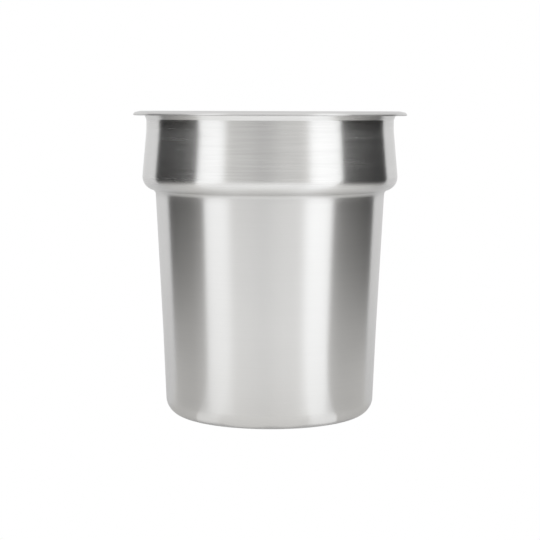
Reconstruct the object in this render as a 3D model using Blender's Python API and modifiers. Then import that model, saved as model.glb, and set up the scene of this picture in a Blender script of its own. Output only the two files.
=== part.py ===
"""Steam table pot: a one-piece, deep-drawn stainless steel pot that hangs by its rim in a round well.

Metres, +Z up. The origin is the centre of the underside of the base, so the pot stands on Z = 0.
The pot is a single sheet of steel: base, body, shoulder, band, neck and rolled rim are one shell.
"""

import math

import bpy

# ---- driving dimensions, all on the outer side of the sheet ----

HEIGHT = 0.2092               # floor to the crest of the rim
SHEET = 0.00076               # 22 gauge stainless steel

RIM_RADIUS = 0.0938           # outside of the turned-down lip
LIP_DROP = 0.0031             # crest to the lower edge of the lip
LIP_BEND = 0.00245            # outer radius of the lip's bend
CREST_RADIUS = 0.0886         # outer edge of the flat ring on top of the rim, where a cover rests
FLANGE_DROP = 0.00094         # how far the flange slopes down from there to the lip
FLANGE_RADIUS = 0.0868        # corner where the flared top of the neck meets the underside of the flange
FLANGE_FILLET = 0.0020

FLARE_HEIGHT = 0.2032         # where the neck starts to flare out to the rim
FLARE_BEND = 0.0020

NECK_RADIUS = 0.0847          # narrowest part of the band, just under the rim
NECK_HEIGHT = 0.1965          # where the neck starts to widen into the band
NECK_BEND = 0.033

BAND_RADIUS = 0.0882          # widest part of the band, before its lower edge is rounded
BAND_HEIGHT = 0.1579
BAND_BEND = 0.0093

SHOULDER_RADIUS = 0.07865     # crease where the shoulder meets the body
SHOULDER_HEIGHT = 0.1549
SHOULDER_BEND = 0.0035

KNEE_RADIUS = 0.0738          # the body's taper eases off below this height
KNEE_HEIGHT = 0.0600
KNEE_BEND = 0.50

FOOT_RADIUS = 0.0713          # body at floor level, before the bottom corner is rounded
FOOT_BEND = 0.0118

REST_RING_RADIUS = 0.0530     # inner edge of the flat ring that the pot stands on
RECESS_RADIUS = 0.0500        # outer edge of the raised middle of the base
RECESS_DEPTH = 0.0007

SEGMENTS = 60                 # around the pot
DEGREES_PER_STEP = 18.0       # along a bend of the profile

STEEL_COLOUR = (0.60, 0.60, 0.59, 1.0)
STEEL_ROUGHNESS = 0.28


def clear_scene():
    for item in list(bpy.data.objects):
        bpy.data.objects.remove(item, do_unlink=True)


def new_collection(name):
    group = bpy.data.collections.new(name)
    bpy.context.scene.collection.children.link(group)
    return group


def steel_material():
    material = bpy.data.materials.new("stainless_steel")
    material.use_nodes = True
    shader = material.node_tree.nodes["Principled BSDF"]
    shader.inputs["Base Color"].default_value = STEEL_COLOUR
    shader.inputs["Metallic"].default_value = 1.0
    shader.inputs["Roughness"].default_value = STEEL_ROUGHNESS
    return material


def bend(before, corner, after, radius):
    """Points of the arc that rounds a corner between two straight runs."""
    x, z = corner
    into = math.atan2(z - before[1], x - before[0])
    out = math.atan2(after[1] - z, after[0] - x)
    turn = (out - into + math.pi) % (2.0 * math.pi) - math.pi
    setback = radius * math.tan(abs(turn) / 2.0)
    start = (x - setback * math.cos(into), z - setback * math.sin(into))
    side = math.copysign(math.pi / 2.0, turn)
    centre = (start[0] + radius * math.cos(into + side), start[1] + radius * math.sin(into + side))
    steps = max(1, round(math.degrees(abs(turn)) / DEGREES_PER_STEP))
    points = []
    for step in range(steps + 1):
        angle = into - side + turn * step / steps
        points.append((centre[0] + radius * math.cos(angle), centre[1] + radius * math.sin(angle)))
    return points


def rounded(corners):
    """Profile points from (radius, height, bend radius) corners; the ends stay sharp."""
    points = [corners[0][:2]]
    for before, here, after in zip(corners, corners[1:], corners[2:]):
        if here[2]:
            points += bend(before[:2], here[:2], after[:2], here[2])
        else:
            points.append(here[:2])
    points.append(corners[-1][:2])
    return points


def pot_profile():
    """Outer side of the sheet from the lip's edge over the rim and down to the middle of the base.

    On the lip and the flange that side faces inwards and down, so the sheet's thickness lies outside it.
    """
    under_crest = HEIGHT - SHEET
    inside_lip = RIM_RADIUS - SHEET
    return rounded([
        (inside_lip, HEIGHT - LIP_DROP, 0.0),
        (inside_lip, under_crest - FLANGE_DROP, LIP_BEND - SHEET),
        (CREST_RADIUS, under_crest, 0.0),
        (FLANGE_RADIUS, under_crest, FLANGE_FILLET),
        (NECK_RADIUS, FLARE_HEIGHT, FLARE_BEND),
        (NECK_RADIUS, NECK_HEIGHT, NECK_BEND),
        (BAND_RADIUS, BAND_HEIGHT, BAND_BEND),
        (SHOULDER_RADIUS, SHOULDER_HEIGHT, SHOULDER_BEND),
        (KNEE_RADIUS, KNEE_HEIGHT, KNEE_BEND),
        (FOOT_RADIUS, 0.0, FOOT_BEND),
        (REST_RING_RADIUS, 0.0, 0.0),
        (RECESS_RADIUS, RECESS_DEPTH, 0.0),
        (0.0, RECESS_DEPTH, 0.0),
    ])


def turned_shell(name, profile, material, group):
    """Turn a profile about Z and give it the sheet's thickness on its inner side."""
    mesh = bpy.data.meshes.new(name)
    vertices = [(radius, 0.0, height) for radius, height in profile]
    edges = [(i, i + 1) for i in range(len(profile) - 1)]
    mesh.from_pydata(vertices, edges, [])
    shell = bpy.data.objects.new(name, mesh)
    group.objects.link(shell)
    mesh.materials.append(material)

    screw = shell.modifiers.new("turn", "SCREW")
    screw.axis = "Z"
    screw.angle = 2.0 * math.pi
    screw.steps = SEGMENTS
    screw.render_steps = SEGMENTS
    screw.use_merge_vertices = True
    screw.merge_threshold = 0.00001
    screw.use_smooth_shade = True

    sheet = shell.modifiers.new("sheet", "SOLIDIFY")
    sheet.thickness = SHEET
    sheet.offset = -1.0
    sheet.use_even_offset = True
    sheet.use_rim = True
    return shell


clear_scene()
pot = new_collection("steam_table_pot")
turned_shell("pot_shell", pot_profile(), steel_material(), pot)
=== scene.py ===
import math

import bpy
from mathutils import Matrix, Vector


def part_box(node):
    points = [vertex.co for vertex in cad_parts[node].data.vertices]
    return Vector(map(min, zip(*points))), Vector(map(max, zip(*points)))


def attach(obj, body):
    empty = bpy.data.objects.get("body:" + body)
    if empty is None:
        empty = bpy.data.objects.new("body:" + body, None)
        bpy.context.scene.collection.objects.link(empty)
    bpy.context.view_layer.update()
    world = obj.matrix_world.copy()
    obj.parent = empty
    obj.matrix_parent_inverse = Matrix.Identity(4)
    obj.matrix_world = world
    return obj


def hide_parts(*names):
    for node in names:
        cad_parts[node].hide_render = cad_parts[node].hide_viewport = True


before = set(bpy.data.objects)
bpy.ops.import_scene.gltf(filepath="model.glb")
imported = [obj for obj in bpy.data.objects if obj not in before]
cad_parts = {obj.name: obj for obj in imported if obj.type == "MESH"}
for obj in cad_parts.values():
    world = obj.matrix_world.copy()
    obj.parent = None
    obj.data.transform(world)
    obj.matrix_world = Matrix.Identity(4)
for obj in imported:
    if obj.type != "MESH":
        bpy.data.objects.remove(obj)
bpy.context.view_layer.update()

# ---- sizes of the pot in metres, on the outer side of the sheet ----

LOW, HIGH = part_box("pot_shell")
HEIGHT = HIGH.z                # floor to the crest of the rim
RIM_RADIUS = HIGH.x            # outside of the turned-down lip
SHEET = 0.00076

LIP_DROP = 0.0031              # crest to the lower edge of the lip
LIP_BEND = 0.00245             # outer radius of the lip's bend
LIP_NOSE = 0.0002              # how far the deburred edge of the lip bulges
CREST_RADIUS = 0.0886          # outer edge of the flat ring on top of the rim
CREST_BEND = 0.0015
FLANGE_DROP = 0.00094          # how far the flange slopes down from there to the lip
FLANGE_RADIUS = 0.0868
FLANGE_FILLET = 0.0020
FLARE_HEIGHT = 0.2032
FLARE_BEND = 0.0020
NECK_RADIUS = 0.0847
NECK_HEIGHT = 0.1965
NECK_BEND = 0.033
BAND_RADIUS = 0.0882
BAND_HEIGHT = 0.1579
BAND_BEND = 0.0093
SHOULDER_RADIUS = 0.07865
SHOULDER_HEIGHT = 0.1549
SHOULDER_BEND = 0.0035
KNEE_RADIUS = 0.0738
KNEE_HEIGHT = 0.0600
KNEE_BEND = 0.50
FOOT_RADIUS = 0.0713
FOOT_BEND = 0.0118
REST_RING_RADIUS = 0.0530
RECESS_RADIUS = 0.0500
RECESS_DEPTH = 0.0007
RECESS_BEND = 0.004

SEGMENTS = 224                 # around the pot, keeping the piece under 200,000 triangles
BEND_STEPS = 12                # along each bend of the profile
LONGEST_STEP = 0.0035          # along the straight runs
NOSE_ROWS = 3
MERGE_DISTANCE = 1e-6          # closes the seam and the poles

# ---- camera ----

CAMERA_DISTANCE = 1.0871       # from the pot's axis, level with the rim
CAMERA_ASIDE = 0.0002
CAMERA_TILT = math.radians(5.757)
CAMERA_ROLL = math.radians(0.15)
CAMERA_LENS = 105.10
CAMERA_SENSOR = 36.0

# ---- studio ----

SIDE_WALL = 0.54               # from the pot's axis to the panels on each side
FRONT_WALL = 1.20              # and to the ones behind the camera
SKY_GLOW = 0.94
FLOOR_SIZE = 12.0
FLOOR_SHADE = 0.55
FLOOR_GLOW = 0.33
PAPER_WHITE = 1.0              # what the camera itself sees of the floor and the background
FLAG_TOP = 0.37
FRONT_TOP = 0.55
SOFTBOX_TOP = 1.1
EDGE_LEAN = 11.0               # degrees a metre, where a flag meets a softbox
SHEET_LIFT = 0.001             # sheets of painted floor light and shade, above the floor

# Each panel is a row of posts round the pot: azimuth of its foot from the camera's side towards +X in
# degrees, how far it leans that way in degrees a metre, height of its top, and how brightly it glows.
PANELS = {
    "left_flag": (
        (-116.7, 0.0, FLAG_TOP, 0.012), (-90.0, 0.0, FLAG_TOP, 0.012), (-80.0, 0.0, FLAG_TOP, 0.014),
        (-71.0, 0.0, FLAG_TOP, 0.055), (-65.8, EDGE_LEAN, FLAG_TOP, 0.16),
    ),
    "right_flag": (
        (122.0, 0.0, FLAG_TOP, 0.012), (100.0, 0.0, FLAG_TOP, 0.012), (79.0, 0.0, FLAG_TOP, 0.018),
        (70.0, 0.0, FLAG_TOP, 0.05), (60.8, EDGE_LEAN, FLAG_TOP, 0.12),
    ),
    "front": (
        (-65.8, EDGE_LEAN, SOFTBOX_TOP, 1.33), (-44.8, 0.0, SOFTBOX_TOP, 1.38),
        (-40.8, 0.0, SOFTBOX_TOP, 1.22), (-36.8, 0.0, FRONT_TOP, 0.75), (-33.0, 0.0, FRONT_TOP, 0.66),
        (-27.0, 0.0, FRONT_TOP, 0.60), (-16.0, 0.0, FRONT_TOP, 0.48), (-8.0, 0.0, FRONT_TOP, 0.38),
        (0.0, 0.0, FRONT_TOP, 0.41), (6.0, 0.0, FRONT_TOP, 0.52), (12.0, 0.0, FRONT_TOP, 0.60),
        (26.0, 0.0, FRONT_TOP, 0.65), (31.6, 0.0, FRONT_TOP, 0.81), (36.8, 0.0, SOFTBOX_TOP, 1.31),
        (40.8, 0.0, SOFTBOX_TOP, 1.43), (60.8, EDGE_LEAN, SOFTBOX_TOP, 1.37),
    ),
}

# Glowing sheets lying on the floor under the panels, which paint the floor's light and shade for
# reflections:
# brighter under the softboxes, darker under the flags and next to the pot. They lie in rings: distance
# from the pot's axis, and the azimuth there as a share of the azimuth at the wall. Each post is an
# azimuth and the glow on each ring and at the wall.
SHEET_RINGS = ((0.068, 0.71), (0.26, 0.92))
PAINTED_FLOOR_LIGHT = (
    (-116.7, 0.64, 0.84, 0.38), (-82.0, 0.64, 0.86, 0.40), (-67.5, 0.66, 1.02, 0.70),
    (-65.0, 0.95, 1.08, 1.20), (-46.5, 0.95, 1.06, 1.14), (-39.5, 0.82, 1.12, 1.06),
    (0.0, 0.82, 1.15, 1.10), (30.0, 0.84, 1.16, 1.10), (36.5, 1.05, 1.26, 1.38),
    (58.5, 1.05, 1.26, 1.38), (61.0, 0.68, 1.02, 0.30), (80.0, 0.66, 0.95, 0.16),
    (122.0, 0.66, 0.90, 0.16),
)


# ---------------------------------------------------------------- node trees


class Sum:
    """A socket that takes part in arithmetic: each operator adds the Math node it stands for."""

    def __init__(self, tree, socket):
        self.tree = tree
        self.socket = socket

    def math(self, operation, *others):
        return self.tree.add("ShaderNodeMath", {"operation": operation}, {
            place: value for place, value in enumerate((self, *others))
        })

    def __add__(self, other):
        return self.math("ADD", other)

    def __sub__(self, other):
        return self.math("SUBTRACT", other)

    def __mul__(self, other):
        return self.math("MULTIPLY", other)

    def __truediv__(self, other):
        return self.math("DIVIDE", other)

    def __rsub__(self, other):
        return self.tree.number(other).math("SUBTRACT", self)

    def __rtruediv__(self, other):
        return self.tree.number(other).math("DIVIDE", self)

    __radd__ = __add__
    __rmul__ = __mul__

    def __neg__(self):
        return self.math("MULTIPLY", -1.0)

    def clamp(self, low=0.0, high=1.0):
        return self.math("MAXIMUM", low).math("MINIMUM", high)

    def between(self, start, end, low=0.0, high=1.0):
        """low at start, high at end, with a smooth run between them."""
        return self.tree.add("ShaderNodeMapRange", {"interpolation_type": "SMOOTHSTEP"}, {
            "Value": self, "From Min": start, "From Max": end, "To Min": low, "To Max": high,
        })


class Tree:
    """A node tree that is written as expressions."""

    def __init__(self, nodes_of):
        self.nodes = nodes_of.nodes
        self.links = nodes_of.links

    def add(self, kind, settings=None, sockets=None, output=0):
        """Any node: its settings first, then the values or links of its sockets."""
        node = self.nodes.new(kind)
        for name, value in (settings or {}).items():
            setattr(node, name, value)
        for name, value in (sockets or {}).items():
            self.plug(node.inputs[name], value)
        return Sum(self, node.outputs[output])

    def plug(self, socket, value):
        if isinstance(value, Sum):
            self.links.new(value.socket, socket)
        else:
            socket.default_value = value

    def number(self, value):
        """A plain number as the first operand of a Math node, or the socket it already is."""
        if isinstance(value, Sum):
            return value
        return self.add("ShaderNodeMath", {"operation": "ADD"}, {0: value, 1: 0.0})

    def vector(self, x=0.0, y=0.0, z=0.0):
        return self.add("ShaderNodeCombineXYZ", None, {"X": x, "Y": y, "Z": z})

    def split(self, value):
        node = self.add("ShaderNodeSeparateXYZ", None, {"Vector": value}).socket.node
        return [Sum(self, output) for output in node.outputs]

    def noise(self, vector, detail=2.0, roughness=0.5):
        return self.add("ShaderNodeTexNoise", None, {
            "Vector": vector, "Scale": 1.0, "Detail": detail, "Roughness": roughness,
        })

    def mix_colours(self, amount, first, second):
        node = self.add("ShaderNodeMix", {"data_type": "RGBA"}).socket.node
        colour_sockets = [s for s in node.inputs if s.type == "RGBA"]
        self.plug(node.inputs[0], amount)
        self.plug(colour_sockets[0], first)
        self.plug(colour_sockets[1], second)
        return Sum(self, next(s for s in node.outputs if s.type == "RGBA"))


# ---------------------------------------------------------------- the pot's shape

# The sheet's outer side as (radius, height, bend radius), from the middle of the base over the rim
# to the edge of the lip. Each corner is three named inputs of the tree.
SHEET_CORNERS = {
    "Base Middle": (0.0, RECESS_DEPTH, 0.0),
    "Recess": (RECESS_RADIUS, RECESS_DEPTH, RECESS_BEND),
    "Rest Ring": (REST_RING_RADIUS, 0.0, RECESS_BEND),
    "Foot": (FOOT_RADIUS, 0.0, FOOT_BEND),
    "Knee": (KNEE_RADIUS, KNEE_HEIGHT, KNEE_BEND),
    "Shoulder": (SHOULDER_RADIUS, SHOULDER_HEIGHT, SHOULDER_BEND),
    "Band": (BAND_RADIUS, BAND_HEIGHT, BAND_BEND),
    "Neck": (NECK_RADIUS, NECK_HEIGHT, NECK_BEND),
    "Flare": (NECK_RADIUS, FLARE_HEIGHT, FLARE_BEND),
    "Flange": (FLANGE_RADIUS, HEIGHT - SHEET, FLANGE_FILLET),
    "Crest": (CREST_RADIUS, HEIGHT - SHEET, CREST_BEND),
    "Lip": (RIM_RADIUS - SHEET, HEIGHT - SHEET - FLANGE_DROP, LIP_BEND - SHEET),
    "Lip Edge": (RIM_RADIUS - SHEET, HEIGHT - LIP_DROP + LIP_NOSE, 0.0),
}


def turned_sheet_tree():
    """Turns a bent sheet about Z: rounds the profile's corners, gives it thickness, revolves it."""
    group = bpy.data.node_groups.new("turned_sheet", "GeometryNodeTree")
    sizes = {"Sheet": SHEET, "Nose": LIP_NOSE, "Longest Step": LONGEST_STEP}
    for name, (radius, height, bend) in SHEET_CORNERS.items():
        sizes[name + " Radius"] = radius
        sizes[name + " Height"] = height
        sizes[name + " Bend"] = bend
    counts = {"Segments": SEGMENTS, "Bend Steps": BEND_STEPS, "Nose Rows": NOSE_ROWS}
    for name, value in sizes.items():
        group.interface.new_socket(name=name, in_out="INPUT", socket_type="NodeSocketFloat")
    for name, value in counts.items():
        group.interface.new_socket(name=name, in_out="INPUT", socket_type="NodeSocketInt")
    group.interface.new_socket(name="Finish", in_out="INPUT", socket_type="NodeSocketMaterial")
    group.interface.new_socket(name="Sheet", in_out="OUTPUT", socket_type="NodeSocketGeometry")

    tree = Tree(group)
    entry = group.nodes.new("NodeGroupInput")
    given = {socket.name: Sum(tree, socket) for socket in entry.outputs if socket.name}

    def pick(kind, values):
        """The value whose place in the list is the point's own index."""
        node = group.nodes.new("GeometryNodeIndexSwitch")
        node.data_type = kind
        while len(node.index_switch_items) < len(values):
            node.index_switch_items.new()
        tree.plug(node.inputs["Index"], index)
        for socket, value in zip(node.inputs[1:], values):
            tree.plug(socket, value)
        return Sum(tree, node.outputs[0])

    index = tree.add("GeometryNodeInputIndex")
    position = tree.add("GeometryNodeInputPosition")

    # profile of the outer side, in the X Z plane
    corners = [
        tree.vector(x=given[name + " Radius"], z=given[name + " Height"]) for name in SHEET_CORNERS
    ]
    bends = [given[name + " Bend"] for name in SHEET_CORNERS]
    line = tree.add("GeometryNodeCurvePrimitiveLine")
    line = tree.add("GeometryNodeResampleCurve", None, {"Curve": line, "Count": len(corners)})
    line = tree.add("GeometryNodeSetPosition", None, {
        "Geometry": line, "Position": pick("VECTOR", corners),
    })
    bent = tree.add("GeometryNodeFilletCurve", {"mode": "POLY"}, {
        "Curve": line, "Radius": pick("FLOAT", bends), "Count": given["Bend Steps"],
    })
    following = tree.add("GeometryNodeFieldAtIndex", {"data_type": "FLOAT_VECTOR"}, {
        "Index": index + 1.0, "Value": position,
    })
    reach = tree.add("ShaderNodeVectorMath", {"operation": "DISTANCE"}, {
        0: following, 1: position,
    }, "Value")
    cuts = (reach / given["Longest Step"]).math("FLOOR")
    profile = tree.add("GeometryNodeSubdivideCurve", None, {"Curve": bent, "Cuts": cuts})
    count = tree.add("GeometryNodeAttributeDomainSize", {"component": "CURVE"}, {
        "Geometry": profile,
    }, "Point Count")

    # rows run up the outer side, round the edge of the lip and back down the inner side
    nose = given["Nose Rows"]
    rows = count * 2.0 + nose
    grid = group.nodes.new("GeometryNodeMeshGrid")
    tree.plug(grid.inputs["Size X"], 1.0)
    tree.plug(grid.inputs["Size Y"], 1.0)
    tree.plug(grid.inputs["Vertices X"], given["Segments"] + 1.0)
    tree.plug(grid.inputs["Vertices Y"], rows)
    across, along, _ = tree.split(position)
    row = ((along + 0.5) * (rows - 1.0)).math("ROUND")
    place = row.math("MINIMUM", rows - 1.0 - row).math("MINIMUM", count - 1.0)
    edge_turn = ((row - count + 1.0) / (nose + 1.0)).clamp() * math.pi

    def along_profile(kind, value):
        return tree.add("GeometryNodeSampleIndex", {"data_type": kind, "domain": "POINT"}, {
            "Geometry": profile, "Value": value, "Index": place,
        })

    radius, _, height = tree.split(along_profile("FLOAT_VECTOR", position))
    heading_out, _, heading_up = tree.split(
        along_profile("FLOAT_VECTOR", tree.add("GeometryNodeInputTangent"))
    )
    run = along_profile("FLOAT", tree.add("GeometryNodeSplineParameter", None, None, "Length"))
    thickness = (1.0 - edge_turn.math("COSINE")) * 0.5 * given["Sheet"]
    bulge = edge_turn.math("SINE") * given["Nose"]
    radius = radius - heading_up * thickness + heading_out * bulge
    height = height + heading_out * thickness + heading_up * bulge
    angle = (across + 0.5) * (2.0 * math.pi)
    turned = tree.vector(radius * angle.math("COSINE"), radius * angle.math("SINE"), height)

    sheet = Sum(tree, grid.outputs["Mesh"])
    for name, kind, domain, value in (
        ("UVMap", "FLOAT2", "CORNER", Sum(tree, grid.outputs["UV Map"])),
        ("run", "FLOAT", "POINT", run),
        ("inside", "FLOAT", "POINT", edge_turn / math.pi),
    ):
        sheet = tree.add("GeometryNodeStoreNamedAttribute", {"data_type": kind, "domain": domain}, {
            "Geometry": sheet, "Name": name, "Value": value,
        })
    sheet = tree.add("GeometryNodeSetPosition", None, {"Geometry": sheet, "Position": turned})
    sheet = tree.add("GeometryNodeMergeByDistance", None, {
        "Geometry": sheet, "Distance": MERGE_DISTANCE,
    })
    sheet = tree.add("GeometryNodeSetShadeSmooth", None, {"Geometry": sheet})
    sheet = tree.add("GeometryNodeRealizeInstances", None, {"Geometry": sheet})
    sheet = tree.add("GeometryNodeSetMaterial", None, {
        "Geometry": sheet, "Material": given["Finish"],
    })
    tree.links.new(sheet.socket, group.nodes.new("NodeGroupOutput").inputs[0])
    return group, sizes, counts


def turned_pot(finish):
    group, sizes, counts = turned_sheet_tree()
    maker = bpy.data.objects.new("pot_maker", bpy.data.meshes.new("pot_maker"))
    bpy.context.scene.collection.objects.link(maker)
    modifier = maker.modifiers.new("turn", "NODES")
    modifier.node_group = group
    values = {**sizes, **counts, "Finish": finish}
    for item in group.interface.items_tree:
        if item.in_out == "INPUT":
            modifier[item.identifier] = values[item.name]
    bpy.context.view_layer.update()
    evaluated = maker.evaluated_get(bpy.context.evaluated_depsgraph_get())
    mesh = bpy.data.meshes.new_from_object(evaluated)
    mesh.name = "steam_table_pot"
    pot = bpy.data.objects.new("steam_table_pot", mesh)
    bpy.context.scene.collection.objects.link(pot)
    bpy.data.objects.remove(maker)
    return pot


# ---------------------------------------------------------------- finishes


def new_material(name):
    material = bpy.data.materials.new(name)
    material.use_nodes = True
    return material, Tree(material.node_tree), material.node_tree.nodes["Principled BSDF"]


DARK_STEEL = (0.622, 0.617, 0.611, 1.0)
LIGHT_STEEL = (0.822, 0.817, 0.810, 1.0)


def brushed_steel():
    """Stainless steel, ground in fine rings: coarsely on the band, satin below, dull inside, with a
    painted highlight lightening the lip.
    """
    material, tree, shader = new_material("brushed_stainless_steel")
    x, y, z = tree.split(tree.add("ShaderNodeTexCoord", None, None, "Object"))
    run = tree.add("ShaderNodeAttribute", {"attribute_name": "run"}, None, "Fac")
    inside = tree.add("ShaderNodeAttribute", {"attribute_name": "inside"}, None, "Fac")

    def rings(around, across, detail=2.0, roughness=0.5):
        """Streaks that follow the pot round; larger numbers make them shorter and finer."""
        place = tree.vector(x * around, y * around, run * across)
        return tree.noise(place, detail=detail, roughness=roughness) - 0.5

    fine = rings(26.0, 1650.0, 3.0, 0.6)
    streaks = rings(12.0, 500.0)
    polish = rings(9.0, 330.0)
    handling = rings(14.0, 16.0, 3.0)
    band = z.between(SHOULDER_HEIGHT - 0.001, SHOULDER_HEIGHT + 0.001)
    # the lip and crest: a smoother finish there, and a painted highlight that lightens their colour
    rim_highlight_and_polish = z.between(HEIGHT - 0.003, HEIGHT - 0.001)
    shoulder = z.between(SHOULDER_HEIGHT - 0.006, SHOULDER_HEIGHT - 0.001)
    shoulder = shoulder - z.between(BAND_HEIGHT, BAND_HEIGHT + 0.004)
    coarse = 0.25 + band * 0.75

    lightness = 0.5 + coarse * (fine * 0.55 + streaks * 0.3)
    # the rim term is a painted highlight: it lightens the lip's colour for the bright sky that the lip
    # mirrors
    lightness = lightness + handling * 0.25 + rim_highlight_and_polish * 0.3 - inside * 0.3
    colour = tree.mix_colours(lightness.clamp(), DARK_STEEL, LIGHT_STEEL)
    dullness = 0.30 - band * 0.04 - rim_highlight_and_polish * 0.03 + shoulder * 0.09 + inside * 0.08
    dullness = dullness + coarse * (polish * 0.05 + fine * 0.04) + handling * 0.03
    relief = tree.add("ShaderNodeBump", None, {
        "Strength": 1.0, "Distance": 0.00002, "Height": coarse * (fine * 0.3 + streaks * 0.06),
    })

    tree.plug(shader.inputs["Base Color"], colour)
    tree.plug(shader.inputs["Roughness"], dullness)
    tree.plug(shader.inputs["Normal"], relief)
    shader.inputs["Metallic"].default_value = 1.0
    shader.inputs["Anisotropic"].default_value = 0.93
    shader.inputs["Anisotropic Rotation"].default_value = 0.25
    shader.inputs["Specular Tint"].default_value = (0.83, 0.83, 0.83, 1.0)
    return material


# ---------------------------------------------------------------- studio


WARM_WHITE = (1.0, 0.99, 0.965, 1.0)
COOL_WHITE = (0.985, 0.995, 1.0, 1.0)


def glowing_panel_finish():
    """White light whose strength is stored along the panel."""
    material = bpy.data.materials.new("glowing_panel")
    material.use_nodes = True
    nodes = material.node_tree.nodes
    nodes.clear()
    tree = Tree(material.node_tree)
    glow = tree.add("ShaderNodeAttribute", {"attribute_name": "glow"}, None, "Fac")
    colour = tree.mix_colours(glow.between(0.7, 1.3), WARM_WHITE, COOL_WHITE)
    light = tree.add("ShaderNodeEmission", None, {"Color": colour, "Strength": glow})
    tree.links.new(light.socket, nodes.new("ShaderNodeOutputMaterial").inputs["Surface"])
    return material


def floor_place(out, azimuth):
    turn = math.radians(azimuth)
    return out * math.sin(turn), -out * math.cos(turn)


def wall_place(azimuth):
    """Where the line at this azimuth meets the studio's side or front wall, as X and Y."""
    turn = math.radians(azimuth)
    out = SIDE_WALL / abs(math.sin(turn)) if turn else FRONT_WALL
    if math.cos(turn) > 0.0:
        out = min(out, FRONT_WALL / math.cos(turn))
    return floor_place(out, azimuth)


def build_panel(name, columns, finish):
    """A panel that only reflections see, through columns of (place, glow)."""
    rows = len(columns[0])
    faces = []
    for column in range(len(columns) - 1):
        for row in range(rows - 1):
            corner = column * rows + row
            faces.append((corner, corner + rows, corner + rows + 1, corner + 1))
    mesh = bpy.data.meshes.new(name)
    mesh.from_pydata([place for column in columns for place, glow in column], [], faces)
    strengths = mesh.attributes.new("glow", "FLOAT", "POINT")
    strengths.data.foreach_set("value", [glow for column in columns for place, glow in column])
    mesh.materials.append(finish)
    panel = bpy.data.objects.new(name, mesh)
    bpy.context.scene.collection.objects.link(panel)
    panel.visible_camera = False


def build_panels():
    finish = glowing_panel_finish()
    for name, posts in PANELS.items():
        columns = []
        for azimuth, lean, top, glow in posts:
            foot = (*wall_place(azimuth), LOW.z)
            head = (*wall_place(azimuth + lean * top), top)
            columns.append([(foot, glow), (head, glow)])
        build_panel(name, columns, finish)
    # the glowing sheets of painted floor light and shade, lying on the floor
    columns = []
    for azimuth, *glows in PAINTED_FLOOR_LIGHT:
        spots = [floor_place(out, azimuth * share) for out, share in SHEET_RINGS]
        spots.append(wall_place(azimuth))
        places = [(x, y, LOW.z + SHEET_LIFT) for x, y in spots]
        columns.append(list(zip(places, glows)))
    build_panel("painted_floor_light", columns, finish)


def paper_white(tree, lit):
    """Plain white paper to the camera, and the lit surface to everything that mirrors or meets it."""
    seen = tree.add("ShaderNodeLightPath", None, None, "Is Camera Ray")
    paper = tree.add("ShaderNodeEmission", None, {"Strength": PAPER_WHITE})
    return tree.add("ShaderNodeMixShader", None, {0: seen, 1: lit, 2: paper})


def build_floor():
    bpy.ops.mesh.primitive_plane_add(size=FLOOR_SIZE, location=(0.0, 0.0, LOW.z))
    floor = bpy.context.object
    floor.name = "floor"
    material, tree, shader = new_material("pale_floor")
    shader.inputs["Base Color"].default_value = (FLOOR_SHADE, FLOOR_SHADE, FLOOR_SHADE, 1.0)
    shader.inputs["Roughness"].default_value = 0.9
    shader.inputs["Specular IOR Level"].default_value = 0.0
    shader.inputs["Emission Color"].default_value = (1.0, 1.0, 1.0, 1.0)
    shader.inputs["Emission Strength"].default_value = FLOOR_GLOW
    surface = tree.nodes["Material Output"].inputs["Surface"]
    tree.plug(surface, paper_white(tree, Sum(tree, shader.outputs["BSDF"])))
    floor.data.materials.append(material)


def build_world():
    world = bpy.data.worlds.new("studio")
    world.use_nodes = True
    tree = Tree(world.node_tree)
    sky = tree.nodes["Background"]
    sky.inputs["Color"].default_value = (1.0, 1.0, 1.0, 1.0)
    sky.inputs["Strength"].default_value = SKY_GLOW
    paper = tree.add("ShaderNodeBackground", None, {
        "Color": (1.0, 1.0, 1.0, 1.0), "Strength": PAPER_WHITE,
    })
    seen = tree.add("ShaderNodeLightPath", None, None, "Is Camera Ray")
    both = tree.add("ShaderNodeMixShader", None, {0: seen, 1: Sum(tree, sky.outputs[0]), 2: paper})
    tree.plug(tree.nodes["World Output"].inputs["Surface"], both)
    bpy.context.scene.world = world


def build_camera():
    data = bpy.data.cameras.new("camera")
    data.sensor_width = CAMERA_SENSOR
    data.lens = CAMERA_LENS
    data.clip_start = 0.05
    data.clip_end = 50.0
    camera = bpy.data.objects.new("camera", data)
    camera.location = (CAMERA_ASIDE, -CAMERA_DISTANCE, HEIGHT)
    tilt = Matrix.Rotation(math.pi / 2.0 - CAMERA_TILT, 3, "X")
    camera.rotation_euler = (tilt @ Matrix.Rotation(CAMERA_ROLL, 3, "Z")).to_euler()
    bpy.context.scene.collection.objects.link(camera)
    bpy.context.scene.camera = camera


# ---------------------------------------------------------------- making

build_camera()
build_world()
build_floor()
build_panels()
bpy.context.scene.view_settings.view_transform = "Standard"

pot = turned_pot(brushed_steel())
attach(pot, "root")
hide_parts("pot_shell")
